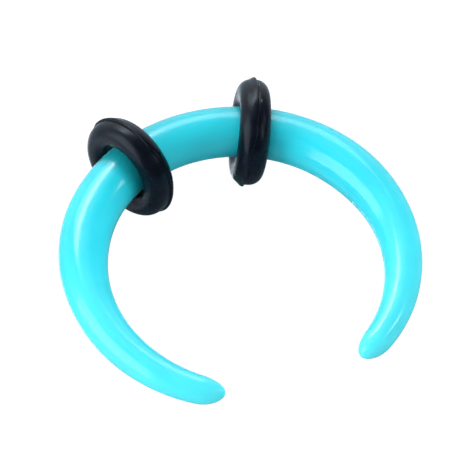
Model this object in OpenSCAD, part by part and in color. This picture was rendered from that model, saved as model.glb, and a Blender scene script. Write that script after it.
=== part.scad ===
// Crescent ear pincher: a round bar bent to a C and tapered to a small rounded tip at each end,
// with two rubber O-rings on it. It lies on a table as it rests by itself, on both O-rings and
// one arm. The table is z = 0, and the origin is under the middle of the whole piece.

/* [Crescent] */
// Thickness of the bar along its middle
bar_d = 4; // [3:0.1:5]
// Radius of the circle that the centre line of the bar follows
curve_r = 12.3; // [11:0.1:15]
// Angle from the middle of the crescent to each tip
arm_angle = 153.6; // [140:0.1:158]
// Angle from the middle of the crescent at which the arms start to taper
taper_angle = 64; // [50:1:90]
// Angle, before and after that, over which the taper comes in
taper_ease = 13; // [4:1:20]
// Thickness that the taper reaches at the tip, before the tip is rounded
tip_d = 2; // [1:0.1:3]
// Length of each rounded tip
tip_l = 2; // [1:0.1:3]

/* [O-rings] */
// Thickness of the rubber, outwards from the bar
rubber_t = 2.12; // [1.5:0.01:2.4]
// Width of the rubber, along the bar
rubber_w = 2.45; // [2.45:0.05:3]
// Gap between the rubber and the bar
ring_gap = 0.07; // [0.07:0.01:0.2]
// Height of the moulding seam round the outside of the rubber
seam_h = 0.15; // [0.05:0.01:0.2]
// Radius of the seam's rounded back
seam_r = 0.3; // [0.2:0.01:0.4]

/* [Places of the O-rings] */
// Angle from the middle of the crescent to the left O-ring
left_angle = 26.3; // [20:0.1:40]
// How far the left O-ring tips out of square, out from the crescent
left_tip_out = -0.7; // [-4:0.1:4]
// How far the left O-ring tips out of square, up from the crescent
left_tip_up = -3.7; // [-6:0.1:6]
// Angle from the middle of the crescent to the right O-ring
right_angle = 22.3; // [20:0.1:40]
// How far the right O-ring tips out of square, out from the crescent
right_tip_out = 3; // [-4:0.1:4]
// How far the right O-ring tips out of square, up from the crescent
right_tip_up = -5.3; // [-6:0.1:6]

/* [Hidden] */

// Sides of the bar's section, cross-sections along half of it, and cross-sections in a rounded tip
sides = 40;
arm_steps = 38;
tip_steps = 8;

// Circle that the middle of the rubber follows, and how far its two round edges lie apart
rubber_r = rubber_t / 2;
ring_r = bar_d / 2 + ring_gap + rubber_r;
edge_gap = rubber_w - rubber_t;
seam_ring_r = ring_r + rubber_r + seam_h - seam_r;

// Each O-ring: angle along the bar (right is plus), how far it tips out, and how far it tips up
LEFT = [-left_angle, left_tip_out, left_tip_up];
RIGHT = [right_angle, right_tip_out, right_tip_up];

// Angle that a length along the centre line turns through
function turn(length) = length / curve_r * 180 / PI;

// x, brought in from 0 along a parabola that is as wide as soft on each side of 0
function eased(x, soft) = x < -soft ? 0 : x > soft ? x : pow(x + soft, 2) / (4 * soft);

// Radius of the bar at an angle from the middle: the taper, times the rounding of the tip
function taper_r(angle) = bar_d / 2
    - (bar_d - tip_d) / 2 * eased(angle - taper_angle, taper_ease) / (arm_angle - taper_angle);
function rounding(angle) = sqrt(1 - pow(max(0, 1 - (arm_angle - angle) / turn(tip_l)), 2));
function bar_r(angle) = taper_r(abs(angle)) * rounding(abs(angle));

// Angles of the cross-sections, from the middle to just short of the right tip, then along the whole bar
tip_start = arm_angle - turn(tip_l);
arm = concat(
    [for (i = [0:arm_steps]) tip_start * i / arm_steps],
    [for (i = [1:tip_steps - 1]) tip_start + (arm_angle - tip_start) * sin(90 * i / tip_steps)]);
sections = concat([for (i = [len(arm) - 1:-1:1]) -arm[i]], arm);

// A point of the crescent before it is laid down: the centre line lies in z = 0 with its middle at +Y
function out(angle) = [sin(angle), cos(angle), 0];
function bar_point(angle, side) =
    out(angle) * (curve_r + bar_r(angle) * cos(side)) + [0, 0, bar_r(angle) * sin(side)];
bar_points = concat(
    [for (angle = sections, i = [0:sides - 1]) bar_point(angle, 360 * i / sides)],
    [curve_r * out(-arm_angle), curve_r * out(arm_angle)]);

// Triangles between neighbouring cross-sections, and fans that close the two tips
last_ring = (len(sections) - 1) * sides;
left_tip = len(bar_points) - 2;
right_tip = len(bar_points) - 1;
bar_faces = concat(
    [for (start = [0:sides:last_ring - 1], i = [0:sides - 1])
        let (a = start + i, b = start + (i + 1) % sides) each [[a, b, b + sides], [a, b + sides, a + sides]]],
    [for (i = [0:sides - 1]) [left_tip, (i + 1) % sides, i]],
    [for (i = [0:sides - 1]) [right_tip, last_ring + i, last_ring + (i + 1) % sides]]);

// Middle of an O-ring, and the direction of its hole, before the crescent is laid down
function ring_centre(ring) = curve_r * out(ring[0]);
function ring_axis(ring) =
    [cos(ring[2]) * cos(ring[1] - ring[0]), cos(ring[2]) * sin(ring[1] - ring[0]), sin(ring[2])];

// How far the bar, and each O-ring, reaches from the middle of the curve in a direction
function bar_reach(way) = max([for (p = bar_points) p * way]);
function ring_reach(ring, way) =
    let (along = abs(ring_axis(ring) * way), across = sqrt(1 - along * along))
    ring_centre(ring) * way + max(
        ring_r * across + edge_gap / 2 * along + rubber_r,
        seam_ring_r * across + seam_r);
function reach(way) = max(bar_reach(way), ring_reach(LEFT, way), ring_reach(RIGHT, way));

// The table's up, right and back, seen from the crescent, when its middle is lifted and its left side raised
function up(lift, lean) = [-sin(lean), cos(lean) * sin(lift), cos(lean) * cos(lift)];
function right(lift, lean) = [cos(lean), sin(lean) * sin(lift), sin(lean) * cos(lift)];
function back(lift) = [0, cos(lift), -sin(lift)];

// The lean that lets both O-rings touch the table, and the lift that lets an arm touch it with them
function lean_for(lift) =
    asin((ring_reach(LEFT, -up(lift, 0)) - ring_reach(RIGHT, -up(lift, 0)))
        / (ring_centre(RIGHT).x - ring_centre(LEFT).x));
function lift_for(low, high, tries) =
    let (middle = (low + high) / 2, down = -up(middle, lean_for(middle)))
    tries == 0 ? middle
        : ring_reach(LEFT, down) > bar_reach(down) ? lift_for(middle, high, tries - 1)
        : lift_for(low, middle, tries - 1);
rest_lift = lift_for(0, 30, 16);
rest_lean = lean_for(rest_lift);

// Place of the curve's middle over the table when the piece rests
rest_up = up(rest_lift, rest_lean);
rest_right = right(rest_lift, rest_lean);
rest_back = back(rest_lift);
rest_place = [
    (reach(-rest_right) - reach(rest_right)) / 2,
    (reach(-rest_back) - reach(rest_back)) / 2,
    reach(-rest_up)];

// Lays a piece down on the table as the whole pincher rests
module laid() {
    translate(rest_place) rotate([rest_lift, rest_lean, 0]) children();
}

// One O-ring about the Z axis: two round edges with a band between them, and the moulding seam outside
module o_ring() {
    rotate_extrude($fn = 96) {
        for (edge = [-1, 1]) translate([ring_r, edge * edge_gap / 2]) circle(rubber_r, $fn = 96);
        translate([ring_r, 0]) square([rubber_t, edge_gap], center = true);
        translate([seam_ring_r, 0]) circle(seam_r, $fn = 96);
    }
}

// An O-ring on the bar: its hole along the bar, then tipped out of square
module on_bar(ring) {
    rotate(-ring[0]) translate([0, curve_r, 0]) rotate([0, -ring[2], ring[1]]) rotate([0, 90, 0]) children();
}

module crescent() {
    color([0.24, 0.84, 0.88]) laid() polyhedron(bar_points, bar_faces);
}

module o_ring_left() {
    color([0.09, 0.1, 0.13]) laid() on_bar(LEFT) o_ring();
}

module o_ring_right() {
    color([0.09, 0.1, 0.13]) laid() on_bar(RIGHT) o_ring();
}

crescent();
o_ring_left();
o_ring_right();
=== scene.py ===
# %% [markdown]
# A crescent ear pincher, dressed for a picture. The real one is a bar of turquoise acrylic, bent to a C and
# drawn out to a small rounded tip at each end, with two black rubber O-rings that keep it in the ear. A
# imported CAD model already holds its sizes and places. This lesson loads that model and gives each piece a
# finer surface and a real finish, without moving or resizing anything.

import math

import bmesh
import bpy
from mathutils import Matrix, Quaternion, Vector, noise


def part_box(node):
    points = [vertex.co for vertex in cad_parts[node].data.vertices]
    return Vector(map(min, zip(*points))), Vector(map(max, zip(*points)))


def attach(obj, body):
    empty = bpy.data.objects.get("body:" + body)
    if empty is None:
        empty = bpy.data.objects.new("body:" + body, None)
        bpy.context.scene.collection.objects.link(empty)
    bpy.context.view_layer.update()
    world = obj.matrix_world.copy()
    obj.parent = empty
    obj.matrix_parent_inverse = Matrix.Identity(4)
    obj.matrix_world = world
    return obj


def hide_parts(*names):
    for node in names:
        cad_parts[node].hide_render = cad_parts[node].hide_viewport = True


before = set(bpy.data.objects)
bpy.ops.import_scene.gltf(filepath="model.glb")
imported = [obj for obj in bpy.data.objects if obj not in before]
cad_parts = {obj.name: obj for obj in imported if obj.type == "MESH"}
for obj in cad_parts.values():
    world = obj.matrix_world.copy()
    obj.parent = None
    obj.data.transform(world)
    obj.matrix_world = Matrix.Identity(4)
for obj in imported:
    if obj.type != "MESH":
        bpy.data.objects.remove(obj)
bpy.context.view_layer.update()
MM = 0.001
print("pieces in the packed model:", ", ".join(sorted(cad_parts)))

# %% [markdown]
# The photograph is taken from above and a little to the left with a long lens, so the crescent shows hardly
# any perspective. A camera can be placed by hand until it looks right. Here its direction, distance and
# lens are named values instead, so the view can be changed by one number at a time. The small roll is there
# because the real camera was not quite level.

# %% Camera
CAMERA_AZIMUTH = -19.8
CAMERA_ELEVATION = 47.2
CAMERA_ROLL = 0.5
CAMERA_DISTANCE = 233.7 * MM
LENS = 229.8
SENSOR = 36
AIM = Vector((0.63, 1.59, 1.53)) * MM
SEES_FROM = 1 * MM
SEES_TO = 10.0


def direction(azimuth, elevation):
    """Points from the object to a place round it. Azimuth 0 is in front, at -Y, and 90 is at +X."""
    a = math.radians(azimuth)
    e = math.radians(elevation)
    return Vector((math.sin(a) * math.cos(e), -math.cos(a) * math.cos(e), math.sin(e)))


def add_object(name, data):
    made = bpy.data.objects.new(name, data)
    bpy.context.scene.collection.objects.link(made)
    return made


camera_back = direction(CAMERA_AZIMUTH, CAMERA_ELEVATION)
camera = add_object("camera", bpy.data.cameras.new("camera"))
camera.data.sensor_width = SENSOR
camera.data.lens = LENS
camera.data.clip_start = SEES_FROM
camera.data.clip_end = SEES_TO
camera.rotation_mode = "QUATERNION"
roll = Quaternion((0, 0, 1), -math.radians(CAMERA_ROLL))
camera.rotation_quaternion = (-camera_back).to_track_quat("-Z", "Y") @ roll
camera.location = AIM + camera_back * CAMERA_DISTANCE
bpy.context.scene.camera = camera
print("camera at", [round(x / MM, 1) for x in camera.location], "mm")

# %% [markdown]
# Under the pincher lies a sheet of polished white plastic. In the photograph it has turned pure white
# without a shadow, while the acrylic shows that the sheet is really greyer and mirrors the lamps beside it.
# One material can say all three things, because a shader may ask what kind of ray has hit it. The camera
# sees white that glows a little. The reflections in the pieces see a polished sheet, which has taken on
# some of the turquoise that lies on it. The light that bounces up from below comes from a plain grey with a
# hint of the same colour.

# %% Floor
FLOOR_SIZE = 6.0
FLOOR_GLOW = 0.85
GLOW_STRENGTH = 1.13
FLOOR_POLISH = 0.25
FLOOR_ROUGHNESS = 0.15
# Painted light: the turquoise tint in the mirrored, polished and bounced colours stands in for light that the
# acrylic throws on the sheet, over the sheet's own white and grey.
FLOOR_COLOURS = {
    "seen": (0.9, 0.9, 0.9),
    "glow": (1.0, 1.0, 1.0),
    "mirrored": (0.32, 0.41, 0.48),
    "polished": (0.85, 0.93, 1.0),
    "bounced": (0.54, 0.56, 0.57),
}

floor_mesh = bpy.data.meshes.new("floor")
corners = [(x * FLOOR_SIZE / 2, y * FLOOR_SIZE / 2, 0) for x, y in ((-1, -1), (1, -1), (1, 1), (-1, 1))]
floor_mesh.from_pydata(corners, [], [(0, 1, 2, 3)])
floor = add_object("floor", floor_mesh)
sheet = bpy.data.materials.new("white_sheet")
sheet.use_nodes = True
sheet_tree = sheet.node_tree
sheet_tree.nodes.clear()


def feed(tree, socket, value):
    """Links a socket to another node's output, or sets it to a plain value."""
    if isinstance(value, bpy.types.NodeSocket):
        tree.links.new(value, socket)
    else:
        socket.default_value = value


def mixed_shader(tree, share, first, second):
    """Two shaders in one. The share of the second is a plain number or comes from another node."""
    made = tree.nodes.new("ShaderNodeMixShader")
    feed(tree, made.inputs["Fac"], share)
    feed(tree, made.inputs[1], first.outputs[0])
    feed(tree, made.inputs[2], second.outputs[0])
    return made


def sheet_shader(kind, part):
    made = sheet_tree.nodes.new(kind)
    made.inputs["Color"].default_value = (*FLOOR_COLOURS[part], 1)
    return made


glow = sheet_shader("ShaderNodeEmission", "glow")
glow.inputs["Strength"].default_value = GLOW_STRENGTH
seen = mixed_shader(sheet_tree, FLOOR_GLOW, sheet_shader("ShaderNodeBsdfDiffuse", "seen"), glow)
polish = sheet_shader("ShaderNodeBsdfGlossy", "polished")
polish.inputs["Roughness"].default_value = FLOOR_ROUGHNESS
dull = sheet_shader("ShaderNodeBsdfDiffuse", "mirrored")
mirrored = mixed_shader(sheet_tree, FLOOR_POLISH, dull, polish)
bounced = sheet_shader("ShaderNodeBsdfDiffuse", "bounced")
ray = sheet_tree.nodes.new("ShaderNodeLightPath")
unseen = mixed_shader(sheet_tree, ray.outputs["Is Glossy Ray"], bounced, mirrored)
whole = mixed_shader(sheet_tree, ray.outputs["Is Camera Ray"], unseen, seen)
sheet_out = sheet_tree.nodes.new("ShaderNodeOutputMaterial")
feed(sheet_tree, sheet_out.inputs["Surface"], whole.outputs[0])
floor_mesh.materials.append(sheet)
print("floor is", FLOOR_SIZE, "m wide")

# %% [markdown]
# Glossy acrylic shows little of its own shading. What the eye reads as its shape are the reflections of the
# lamps: a soft band along the back, a bright one on the left arm, and broad pale patches on the lower arms.
# So the light is built from softboxes, each at the place where its reflection needs it. Two at the back, a
# bright one over a dimmer one, give the band there its line and its softer side. A softbox's brightness is
# given as radiance, where 1 is as bright as lit white paper, and its power follows from its size. A lamp
# that would bleach the colour is left out of the shading and only shows as a reflection. The three fills
# are the other way round: they light the colour and are never mirrored. The strip in front gives one O-ring
# its grey glint, and is linked to that ring once the rings have their finish.

# %% Softboxes
SOFTBOX_DISTANCE = 0.6


def softbox(name, azimuth, elevation, wide, high, radiance,
            upright=False, in_shading=True, in_reflections=True):
    """An area lamp that spans so many degrees, seen from the object, and faces it or stands upright."""
    lamp = bpy.data.lights.new(name, "AREA")
    lamp.shape = "RECTANGLE"
    lamp.size = 2 * SOFTBOX_DISTANCE * math.tan(math.radians(wide / 2))
    lamp.size_y = 2 * SOFTBOX_DISTANCE * math.tan(math.radians(high / 2))
    lamp.energy = radiance * math.pi * lamp.size * lamp.size_y
    made = add_object(name, lamp)
    towards = direction(azimuth, elevation)
    made.location = towards * SOFTBOX_DISTANCE
    made.rotation_mode = "QUATERNION"
    facing = Vector((-towards.x, -towards.y, 0)) if upright else -towards
    made.rotation_quaternion = facing.to_track_quat("-Z", "Y")
    made.visible_camera = False
    made.visible_diffuse = in_shading
    made.visible_glossy = in_reflections
    print(name, "is", round(lamp.size, 2), "x", round(lamp.size_y, 2), "m and", round(lamp.energy, 2), "W")
    return made


softbox("back_softbox", azimuth=-170, elevation=54, wide=31, high=13, radiance=9.0, in_shading=False)
softbox("low_back_softbox", azimuth=-170, elevation=40, wide=31, high=15, radiance=2.8, in_shading=False)
softbox("back_right_softbox", azimuth=152, elevation=47, wide=26, high=28, radiance=2.6)
softbox("left_panel", azimuth=-87, elevation=26, wide=50, high=60, radiance=2.9, upright=True)
softbox("small_lamp", azimuth=69.5, elevation=31, wide=7, high=12, radiance=6.8, in_shading=False)
front_strip = softbox("front_strip", azimuth=39, elevation=29, wide=20, high=30, radiance=2.2,
                      in_shading=False)
softbox("left_fill", azimuth=-78, elevation=10, wide=36, high=24, radiance=5.4, in_reflections=False)
softbox("right_fill", azimuth=84, elevation=22, wide=56, high=36, radiance=1.8, in_reflections=False)
softbox("top_fill", azimuth=160, elevation=75, wide=45, high=45, radiance=2.3, in_reflections=False)

# %% [markdown]
# The rest of the studio is white cloth at the back and black cloth in front. The black keeps the acrylic
# from reflecting white everywhere and looking milky. For the shading it is the other way round: a soft
# light from the front fills the colour in. The world's shader does both, again by asking what kind of ray
# it is. Each time it compares the ray's direction with a main direction, and turns from one strength to
# another between two angles.

# %% Cloth round the object
world = bpy.data.worlds.new("cloth")
bpy.context.scene.world = world
world.use_nodes = True
world_tree = world.node_tree
world_tree.nodes.clear()
looking = world_tree.nodes.new("ShaderNodeTexCoord")


def soft_side(towards, inside, outside, strength_there, strength_elsewhere):
    """Light of one strength on a side of the world and another elsewhere, blended between two angles."""
    how_near = world_tree.nodes.new("ShaderNodeVectorMath")
    how_near.operation = "DOT_PRODUCT"
    how_near.inputs[1].default_value = towards
    feed(world_tree, how_near.inputs[0], looking.outputs["Generated"])
    blend = world_tree.nodes.new("ShaderNodeMapRange")
    blend.interpolation_type = "SMOOTHSTEP"
    blend.inputs["From Min"].default_value = math.cos(math.radians(outside))
    blend.inputs["From Max"].default_value = math.cos(math.radians(inside))
    blend.inputs["To Min"].default_value = strength_elsewhere
    blend.inputs["To Max"].default_value = strength_there
    feed(world_tree, blend.inputs["Value"], how_near.outputs["Value"])
    light = world_tree.nodes.new("ShaderNodeBackground")
    light.inputs["Color"].default_value = (1, 1, 1, 1)
    feed(world_tree, light.inputs["Strength"], blend.outputs["Result"])
    return light


shading = soft_side(direction(30, -5), inside=30, outside=75, strength_there=1.2, strength_elsewhere=0.33)
mirrored_cloth = soft_side(direction(20, 10), inside=72, outside=112,
                           strength_there=0.02, strength_elsewhere=1.05)
world_ray = world_tree.nodes.new("ShaderNodeLightPath")
cloth = mixed_shader(world_tree, world_ray.outputs["Is Glossy Ray"], shading, mirrored_cloth)
world_out = world_tree.nodes.new("ShaderNodeOutputWorld")
feed(world_tree, world_out.inputs["Surface"], cloth.outputs[0])
bpy.context.scene.view_settings.view_transform = "Standard"
bpy.context.scene.view_settings.look = "None"
print("the cloth is made from", len(world_tree.nodes), "nodes")

# %% [markdown]
# Every piece of the real pincher is round in section, so a few sizes describe it whole. They are the sizes
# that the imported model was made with, in millimetres and degrees. How the crescent lies on the table
# follows from them too: it leans on both O-rings and one arm. The two resting angles are given here, and
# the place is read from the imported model's boxes.

# %% Sizes of the real pieces
BAR_THICKNESS = 4.0
BEND_RADIUS = 12.3
ARM_ANGLE = 153.6
TAPER_ANGLE = 64.0
TAPER_EASE = 13.0
TIP_THICKNESS = 2.0
TIP_LENGTH = 2.0

RUBBER_THICKNESS = 2.12
RUBBER_WIDTH = 2.45
RING_GAP = 0.07

REST_LIFT = 8.55
REST_LEAN = 0.52
resting = Matrix.Rotation(math.radians(REST_LEAN), 3, "Y") @ Matrix.Rotation(math.radians(REST_LIFT), 3, "X")


def box_middle(node):
    low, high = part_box(node)
    return (low + high) / 2


print("the crescent's box is centred at", [round(x / MM, 2) for x in box_middle("crescent")], "mm")

# %% [markdown]
# The crescent is one acrylic rod, turned to a taper, heated and bent round a former. It could be a Blender
# curve with a bevel and a taper object, but the tips would then be hard to round. Here a circle is swept
# along the bend in code, and a formula gives its radius: even in the middle, narrowing smoothly down each
# arm, and closing like the end of an egg at the tip. A rod that was bent and polished by hand is never
# quite true. The last stretch of each arm curls in by a tenth of a millimetre more than the circle, and the
# surface wanders by a hundredth, which makes the reflections waver as they do in life.

# %% Form of the crescent
BAR_SIDES = 96
ARM_SECTIONS = 190
TIP_SECTIONS = 22
CURL_START = 142.0
CURL_DEPTH = 0.115
WANDER_DEPTH = 0.012
WANDER_LENGTH = 3.5


def degrees_along(length):
    """Degrees of the bend that a length of the centre line takes up."""
    return math.degrees(length / BEND_RADIUS)


def eased(x, soft):
    """x, brought in from 0 along a parabola that is as wide as soft on each side of 0."""
    if x < -soft:
        return 0.0
    return x if x > soft else (x + soft) ** 2 / (4 * soft)


def bar_radius(angle):
    narrowing = eased(abs(angle) - TAPER_ANGLE, TAPER_EASE) / (ARM_ANGLE - TAPER_ANGLE)
    into_tip = max(0.0, 1 - (ARM_ANGLE - abs(angle)) / degrees_along(TIP_LENGTH))
    tapered = BAR_THICKNESS / 2 - (BAR_THICKNESS - TIP_THICKNESS) / 2 * narrowing
    return tapered * math.sqrt(max(0.0, 1 - into_tip ** 2))


def section_angles():
    """Angles of the cross-sections, from one tip to the other, closer together where the tips are round."""
    tip_start = ARM_ANGLE - degrees_along(TIP_LENGTH)
    arm = [tip_start * i / ARM_SECTIONS for i in range(ARM_SECTIONS + 1)]
    rounding = [math.sin(math.pi / 2 * i / TIP_SECTIONS) for i in range(1, TIP_SECTIONS)]
    half_bar = arm + [tip_start + (ARM_ANGLE - tip_start) * share for share in rounding]
    return [-angle for angle in reversed(half_bar[1:])] + half_bar


def bar_point(angle, side, hand_made=True):
    """A point of the skin, in mm: the bend lies flat with its middle at +Y, and side goes round the rod."""
    a = math.radians(angle)
    outward = Vector((math.sin(a), math.cos(a), 0))
    middle = outward * BEND_RADIUS
    across = outward * math.cos(side) + Vector((0, 0, math.sin(side)))
    radius = bar_radius(angle)
    if hand_made:
        into_curl = max(0.0, abs(angle) - CURL_START) / (ARM_ANGLE - CURL_START)
        middle -= outward * CURL_DEPTH * into_curl ** 2
        radius *= 1 + WANDER_DEPTH / BAR_THICKNESS * noise.noise((middle + across * radius) / WANDER_LENGTH)
    return middle + across * radius


angles = section_angles()
sides = [2 * math.pi * i / BAR_SIDES for i in range(BAR_SIDES)]
print(len(angles), "sections of", BAR_SIDES, "points; tips close at", ARM_ANGLE, "degrees")

# %% Mesh of the crescent
def box_of(points):
    low = Vector([min(p[i] for p in points) for i in range(3)])
    high = Vector([max(p[i] for p in points) for i in range(3)])
    return low, high


def smooth_piece(name, mesh_maker):
    """An object whose mesh is filled in by mesh_maker and shaded smooth."""
    mesh = bpy.data.meshes.new(name)
    work = bmesh.new()
    mesh_maker(work)
    bmesh.ops.recalc_face_normals(work, faces=work.faces)
    for face in work.faces:
        face.smooth = True
    work.to_mesh(mesh)
    work.free()
    print(name, "has", len(mesh.polygons), "faces")
    return add_object(name, mesh)


def sweep_bar(work):
    rings = [[work.verts.new(bar_point(angle, side) * MM) for side in sides] for angle in angles]
    for near, far in zip(rings, rings[1:]):
        for i in range(BAR_SIDES):
            j = (i + 1) % BAR_SIDES
            work.faces.new((near[i], near[j], far[j], far[i]))
    for ring, angle in ((rings[0], -ARM_ANGLE), (rings[-1], ARM_ANGLE)):
        tip = work.verts.new(bar_point(angle, 0) * MM)
        for i in range(BAR_SIDES):
            work.faces.new((tip, ring[i], ring[(i + 1) % BAR_SIDES]))


true_form = [bar_point(angle, side, hand_made=False) for angle in angles for side in sides]
laid_low, laid_high = box_of([resting @ point * MM for point in true_form])
rest_place = box_middle("crescent") - (laid_low + laid_high) / 2
crescent = smooth_piece("turquoise_crescent", sweep_bar)
crescent.matrix_world = Matrix.Translation(rest_place) @ resting.to_4x4()
print("crescent lies with the middle of its bend at", [round(x / MM, 3) for x in rest_place], "mm")

# %% [markdown]
# Each O-ring is moulded in two halves of a steel mould. Where the halves met, a little rubber was pressed
# out and left a seam along the outside: a low bead that rises gently on one side and drops steeply on the
# other, into a fine crease. A torus from Blender's menu has no seam, so the ring is turned in code as on a
# lathe: an outline of the rubber goes round a circle, with more points near the seam. The seam is no
# perfect circle. Its height and line waver as they do on a cheap moulding, one stretch is worn nearly flat,
# and where the rubber has rolled on the bar the line runs off the middle. Sizes are in millimetres, and
# places round the ring are in degrees.

# %% Form of an O-ring
RUBBER_RADIUS = RUBBER_THICKNESS / 2
RING_RADIUS = BAR_THICKNESS / 2 + RING_GAP + RUBBER_RADIUS
EDGE_GAP = RUBBER_WIDTH - RUBBER_THICKNESS
OUTLINE_POINTS = 160
ROUND_POINTS = 240
CLOSER_AT_SEAM = 1.5
EDGE_SOFTNESS = 0.2
RUBBER_UNEVEN = 0.01
RUBBER_LUMP = 2.0

SEAM_HEIGHT = 0.17
SEAM_DROP = 0.12
SEAM_RISE = 0.48
SEAM_WANDER = 0.02
SEAM_BEND = 1.6
SEAM_UNEVEN = 0.18
SEAM_LUMP = 2 / 3
SEAM_LUMP_SEED = 5
CREASE_DEPTH = 0.055
CREASE_WIDTH = 0.04

WORN_AT = 215
WORN_REACH = 75
WORN_LOWER = 0.6
WORN_WIDER = 0.4
SLIP_INSIDE = 40
SLIP_OUTSIDE = 70


def near_angle(around, middle, inside, outside):
    """1 close to an angle of the ring and 0 far from it, blended between two distances in degrees."""
    off = abs(math.degrees(around) - middle) % 360
    share = min(1.0, max(0.0, (outside - min(off, 360 - off)) / (outside - inside)))
    return share * share * (3 - 2 * share)


def seam_height(z, around):
    """Height of the moulding seam over the rubber, so far along the hole from its middle."""
    worn = near_angle(around, WORN_AT, 0, WORN_REACH)
    if z > 0:
        bead = SEAM_HEIGHT * math.sqrt(max(0.0, 1 - (z / SEAM_DROP) ** 2))
    else:
        down_the_rise = min(1.0, -z / (SEAM_RISE + WORN_WIDER * worn))
        bead = SEAM_HEIGHT * (0.5 + 0.5 * math.cos(math.pi * down_the_rise))
    crease = CREASE_DEPTH * math.exp(-((z - SEAM_DROP) / CREASE_WIDTH) ** 2)
    return (bead - crease) * (1 - WORN_LOWER * worn)


def outline_turns():
    """Angles round the rubber's outline, from the inside of the ring over the seam and back."""
    steps = [2 * i / OUTLINE_POINTS - 1 for i in range(OUTLINE_POINTS)]
    return [math.copysign(math.pi * abs(step) ** CLOSER_AT_SEAM, step) for step in steps]


def rubber_point(around, turn, how):
    """A point of the rubber in mm, with the hole along Z. Turn 0 is the outside, on the seam."""
    seed = how["seed"]
    circle = Vector((math.cos(around), math.sin(around), 0))
    flat = math.sin(turn) / math.hypot(math.sin(turn), EDGE_SOFTNESS)
    place = circle * RING_RADIUS
    unevenness = RUBBER_UNEVEN * noise.noise(place / RUBBER_LUMP + Vector((seed, 0, turn)))
    out = (RUBBER_RADIUS + unevenness) * math.cos(turn)
    z = (RUBBER_RADIUS + unevenness) * math.sin(turn) + EDGE_GAP / 2 * flat
    if abs(turn) < math.pi / 2:
        slip = how["slipped"] * near_angle(around, how["slipped_at"], SLIP_INSIDE, SLIP_OUTSIDE)
        line = how["seam_off"] + slip + SEAM_WANDER * noise.noise(place / SEAM_BEND + Vector((0, 0, seed)))
        height = 1 + SEAM_UNEVEN * noise.noise(place / SEAM_LUMP + Vector((0, seed, SEAM_LUMP_SEED)))
        out += seam_height((z - line) * how["crease_side"], around) * height
    return circle * (RING_RADIUS + out) + Vector((0, 0, z))


turns = outline_turns()
ring_across = 2 * (RING_RADIUS + RUBBER_RADIUS + SEAM_HEIGHT)
print("an O-ring is", round(ring_across, 2), "mm across and", RUBBER_WIDTH, "mm wide")

# %% [markdown]
# The two O-rings are the same moulding, but they do not sit alike on the bar: each has rolled a little out
# of square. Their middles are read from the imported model, and three angles turn each one: how far along the
# bend it sits, and how far it tips outwards and upwards. The rest of each line says which side of its seam
# the crease is on, and how far, and near which angle, the seam has slipped off the middle.

# %% The two O-rings
O_RINGS = {
    "o_ring_left": {"along": -26.3, "tips_out": -0.7, "tips_up": -3.7, "crease_side": -1,
                    "seam_off": 0.12, "slipped": 0.25, "slipped_at": 270, "seed": 3.0},
    "o_ring_right": {"along": 22.3, "tips_out": 3.0, "tips_up": -5.3, "crease_side": 1,
                     "seam_off": 0.0, "slipped": -0.3, "slipped_at": 285, "seed": 11.0},
}


def turn_rubber(how):
    def fill(work):
        rounds = [2 * math.pi * i / ROUND_POINTS for i in range(ROUND_POINTS)]
        rings = [[work.verts.new(rubber_point(around, turn, how) * MM) for turn in turns]
                 for around in rounds]
        for k in range(ROUND_POINTS):
            near, far = rings[k], rings[(k + 1) % ROUND_POINTS]
            for i in range(OUTLINE_POINTS):
                j = (i + 1) % OUTLINE_POINTS
                work.faces.new((near[i], near[j], far[j], far[i]))
    return fill


rubber_rings = {}
for node, how in O_RINGS.items():
    ring = smooth_piece("rubber_" + node, turn_rubber(how))
    square = Matrix.Rotation(math.radians(how["tips_out"] - how["along"]), 3, "Z")
    tipped = Matrix.Rotation(math.radians(90 - how["tips_up"]), 3, "Y")
    ring.matrix_world = Matrix.Translation(box_middle(node)) @ (resting @ square @ tipped).to_4x4()
    rubber_rings[node] = ring
    print(ring.name, "is centred at", [round(x / MM, 3) for x in box_middle(node)], "mm")

# %% [markdown]
# Turquoise acrylic is a clear plastic with pigment stirred into it. The surface is polished like glass, and
# light goes a little way into the colour before it comes back, which softens the shading and darkens it
# next to the black O-rings. A Principled shader gives both, with low roughness and a little subsurface. A
# trace of sheen makes the rim as soft as it looks in the photograph. The thin arms let more light through
# than the thick middle, so the colour turns paler towards the tips. Just outside the O-rings the photograph
# is darker than the light alone makes it here, so a painted shade deepens the colour there, by the angle
# along the bend. The pigment is never perfectly even, and handling leaves faint smears in the polish, so
# slow noise moves the colour and the roughness by a few percent.

# %% Node helpers
BUMP_STRENGTH = 0.25


def new_material(name, settings):
    """A material, its node tree, and its shader with the values that are the same all over it."""
    made = bpy.data.materials.new(name)
    made.use_nodes = True
    shader = made.node_tree.nodes["Principled BSDF"]
    for socket, value in settings.items():
        shader.inputs[socket].default_value = value
    return made, made.node_tree, shader


def noise_in_mm(tree, size, detail=2.0, roughness=0.5):
    """Noise whose lumps are about so many mm across, fixed to the piece."""
    place = tree.nodes.new("ShaderNodeTexCoord")
    made = tree.nodes.new("ShaderNodeTexNoise")
    made.inputs["Scale"].default_value = 1 / (size * MM)
    made.inputs["Detail"].default_value = detail
    made.inputs["Roughness"].default_value = roughness
    feed(tree, made.inputs["Vector"], place.outputs["Object"])
    return made.outputs["Fac"]


def spread(tree, value, low, high, from_low=0.35, from_high=0.65):
    """Stretches a value from one range, which is noise's unless given, to another and keeps it inside."""
    made = tree.nodes.new("ShaderNodeMapRange")
    made.inputs["From Min"].default_value = from_low
    made.inputs["From Max"].default_value = from_high
    made.inputs["To Min"].default_value = low
    made.inputs["To Max"].default_value = high
    feed(tree, made.inputs["Value"], value)
    return made.outputs["Result"]


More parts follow.
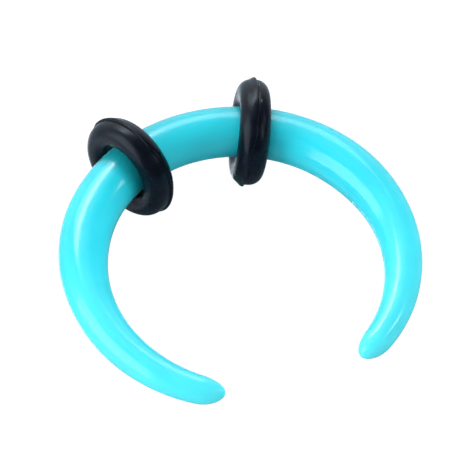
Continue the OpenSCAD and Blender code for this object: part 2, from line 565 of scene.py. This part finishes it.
def mixed_colour(tree, share, first, second):
    """A colour between two others, each of them plain or worked out by other nodes."""
    made = tree.nodes.new("ShaderNodeMix")
    made.data_type = "RGBA"
    feed(tree, made.inputs["Factor"], share)
    for socket, colour in (("A", first), ("B", second)):
        feed(tree, made.inputs[socket], (*colour, 1) if isinstance(colour, tuple) else colour)
    return made.outputs["Result"]


def along_axis(tree, axis):
    """The place on a piece along one of its own axes."""
    place = tree.nodes.new("ShaderNodeTexCoord")
    split = tree.nodes.new("ShaderNodeSeparateXYZ")
    feed(tree, split.inputs["Vector"], place.outputs["Object"])
    return split.outputs[axis]


def worked_out(tree, operation, first, second):
    """The result of a sum on two values, each of them plain or worked out by other nodes."""
    made = tree.nodes.new("ShaderNodeMath")
    made.operation = operation
    feed(tree, made.inputs[0], first)
    feed(tree, made.inputs[1], second)
    return made.outputs["Value"]


def add_bump(tree, shader, size, detail, depth):
    """Lets noise tilt the shading as if it made the surface so many mm uneven."""
    bump = tree.nodes.new("ShaderNodeBump")
    bump.inputs["Strength"].default_value = BUMP_STRENGTH
    bump.inputs["Distance"].default_value = depth * MM
    feed(tree, bump.inputs["Height"], noise_in_mm(tree, size, detail))
    feed(tree, shader.inputs["Normal"], bump.outputs["Normal"])


print("lumps of 1 mm need a noise scale of", round(1 / MM), "per metre")

# %% Turquoise acrylic
ACRYLIC = {
    "IOR": 1.49,
    "Subsurface Weight": 0.6,
    "Subsurface Radius": (0.3, 1.0, 1.0),
    "Subsurface Scale": 1.0 * MM,
    "Sheen Weight": 0.15,
    "Sheen Roughness": 0.3,
    "Sheen Tint": (0.8, 1, 1, 1),
}
ACRYLIC_ROUGHNESS = (0.15, 0.22)
THICK_COLOURS = ((0.022, 0.58, 0.69), (0.029, 0.63, 0.76))
THIN_COLOURS = ((0.074, 0.66, 0.75), (0.087, 0.71, 0.81))
PAINTED_SHADE_COLOUR = (0.008, 0.36, 0.42)

# Where the paler colour starts and is full, in mm from the centre of the bend towards its thick middle
THIN_START = 3.0
THIN_END = -12.0

# Degrees from an O-ring to the darkest painted shade, then to where the shade starts to fade and where it
# ends
PAINTED_SHADE_AT = 5.0
PAINTED_SHADE_FULL_TO = 2.0
PAINTED_SHADE_ENDS = 6.7


def painted_shade_beside_o_rings(tree):
    """Painted shade: 1 on the bar a few degrees beyond the middle of each O-ring, and 0 further along and
    between them.
    """
    angle = worked_out(tree, "ARCTAN2", along_axis(tree, "X"), along_axis(tree, "Y"))
    nearest = math.pi
    for how in O_RINGS.values():
        deepest = math.radians(how["along"] + math.copysign(PAINTED_SHADE_AT, how["along"]))
        off = worked_out(tree, "SUBTRACT", angle, deepest)
        nearest = worked_out(tree, "MINIMUM", nearest, worked_out(tree, "ABSOLUTE", off, 0.0))
    return spread(tree, nearest, 1.0, 0.0,
                  from_low=math.radians(PAINTED_SHADE_FULL_TO), from_high=math.radians(PAINTED_SHADE_ENDS))


def turquoise_acrylic():
    made, tree, shader = new_material("turquoise_acrylic", ACRYLIC)
    pigment = spread(tree, noise_in_mm(tree, size=5.0, detail=3.0), 0.0, 1.0)
    thick = mixed_colour(tree, pigment, *THICK_COLOURS)
    thin = mixed_colour(tree, pigment, *THIN_COLOURS)
    thinness = spread(tree, along_axis(tree, "Y"), 1.0, 0.0,
                      from_low=THIN_END * MM, from_high=THIN_START * MM)
    colour = mixed_colour(tree, thinness, thick, thin)
    # Painted shade: the colour is deepened just outside each O-ring, by the angle along the bend.
    colour = mixed_colour(tree, painted_shade_beside_o_rings(tree), colour, PAINTED_SHADE_COLOUR)
    feed(tree, shader.inputs["Base Color"], colour)
    smears = noise_in_mm(tree, size=1.8, detail=4.0, roughness=0.6)
    feed(tree, shader.inputs["Roughness"], spread(tree, smears, *ACRYLIC_ROUGHNESS))
    add_bump(tree, shader, size=0.9, detail=1.0, depth=0.004)
    return made


crescent.data.materials.append(turquoise_acrylic())
print("crescent wears", crescent.data.materials[0].name)

# %% [markdown]
# The O-rings are black rubber with a satin skin. It looks blue-grey where a lamp glances off it, because a
# thin dust of moulding powder sits on it, so the gloss has a bluish tint. Two noises move the roughness and
# the darkness, and a fine bump breaks the gloss up. The right O-ring has two short chalky scuffs on top as
# well. They could be painted on, but a scuff is only a small ellipse, so the nodes unroll the ring into a
# strip and measure how far each place is from the nearest one.

# %% Satin rubber
RUBBER = {
    "IOR": 1.5,
    "Specular IOR Level": 0.2,
    "Specular Tint": (0.72, 0.86, 1, 1),
}
RUBBER_ROUGHNESS = (0.25, 0.33)
RUBBER_COLOURS = ((0.0014, 0.0024, 0.0056), (0.0032, 0.0050, 0.0105))
SCUFFS = {"o_ring_left": [], "o_ring_right": [(-27.5, 0.23), (0.0, 0.32)]}
SCUFF_LENGTH = 0.42
SCUFF_WIDTH = 0.1
SCUFF_CORE = 0.6
SCUFF_COLOUR = (0.10, 0.11, 0.13)


def scuffed(tree, scuffs):
    """1 on short scuffs and 0 elsewhere. Each has degrees from the ring's top and mm from its middle."""
    down, behind = (worked_out(tree, "MULTIPLY", along_axis(tree, axis), -1.0) for axis in "XY")
    from_top = worked_out(tree, "ARCTAN2", behind, down)
    to_length = 2 * (RING_RADIUS + RUBBER_RADIUS) / SCUFF_LENGTH
    to_width = 2 / SCUFF_WIDTH
    unrolled = tree.nodes.new("ShaderNodeCombineXYZ")
    feed(tree, unrolled.inputs["X"], worked_out(tree, "MULTIPLY", from_top, to_length))
    feed(tree, unrolled.inputs["Y"], worked_out(tree, "MULTIPLY", along_axis(tree, "Z"), to_width / MM))
    nearest = 1.0
    for degrees, z in scuffs:
        gap = tree.nodes.new("ShaderNodeVectorMath")
        gap.operation = "DISTANCE"
        gap.inputs[1].default_value = (math.radians(degrees) * to_length, z * to_width, 0)
        feed(tree, gap.inputs[0], unrolled.outputs["Vector"])
        nearest = worked_out(tree, "MINIMUM", nearest, gap.outputs["Value"])
    return spread(tree, nearest, 1.0, 0.0, from_low=SCUFF_CORE, from_high=1.0)


def satin_rubber(node):
    made, tree, shader = new_material("satin_rubber_of_" + node, RUBBER)
    powder = noise_in_mm(tree, size=1.4, detail=5.0, roughness=0.65)
    colour = mixed_colour(tree, spread(tree, powder, 0.0, 1.0), *RUBBER_COLOURS)
    if SCUFFS[node]:
        colour = mixed_colour(tree, scuffed(tree, SCUFFS[node]), colour, SCUFF_COLOUR)
    feed(tree, shader.inputs["Base Color"], colour)
    skin = noise_in_mm(tree, size=0.8, detail=3.0)
    feed(tree, shader.inputs["Roughness"], spread(tree, skin, *RUBBER_ROUGHNESS))
    add_bump(tree, shader, size=0.12, detail=2.0, depth=0.005)
    return made


for node, ring in rubber_rings.items():
    ring.data.materials.append(satin_rubber(node))
    print(ring.name, "wears", ring.data.materials[0].name)
lit_by_strip = bpy.data.collections.new("lit_by_strip")
lit_by_strip.objects.link(rubber_rings["o_ring_right"])
front_strip.light_linking.receiver_collection = lit_by_strip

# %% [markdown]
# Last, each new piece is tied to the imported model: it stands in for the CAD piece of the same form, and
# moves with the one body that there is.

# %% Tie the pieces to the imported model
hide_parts("crescent")
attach(crescent, "root")
for node, ring in rubber_rings.items():
    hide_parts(node)
    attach(ring, "root")
